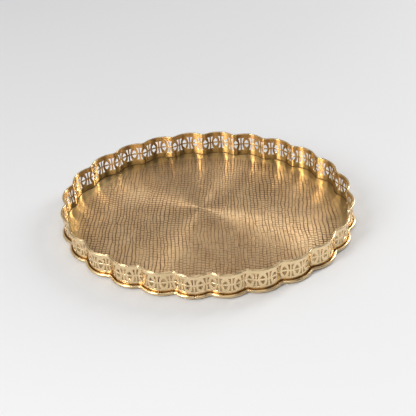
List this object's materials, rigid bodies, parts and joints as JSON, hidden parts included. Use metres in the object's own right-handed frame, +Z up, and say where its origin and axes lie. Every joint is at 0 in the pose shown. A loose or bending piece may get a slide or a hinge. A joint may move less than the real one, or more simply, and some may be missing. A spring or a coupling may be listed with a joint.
{
  "type": "tray",
  "caption": "Oval brass serving tray with an embossed floor, walled by a scalloped, pierced gallery between a round foot wire and a fine top wire.",
  "frame": {"origin": "middle of the underside, on the surface that the tray stands on", "axes": "+X along the length, +Y across the width, +Z up out of the tray"},
  "size_m": [0.3488, 0.2886, 0.032],
  "materials": {
    "embossed_brass": "satin sheet with an embossed bark grain, darkened in the grooves",
    "gallery_brass": "polished, lightly worn",
    "wire_brass": "bright polished",
    "solder": "dull, brass-coloured solder"
  },
  "bodies": {
    "root": {"tray_plate": "embossed_brass", "foot_wire": "wire_brass", "foot_wire_seam": "solder", "outside_solder": "solder", "inside_solder": "solder", "top_wire": "wire_brass", "gallery_strip_1": "gallery_brass", "gallery_strip_2": "gallery_brass", "gallery_strip_3": "gallery_brass", "gallery_strip_4": "gallery_brass"}
  },
  "joints": []
}
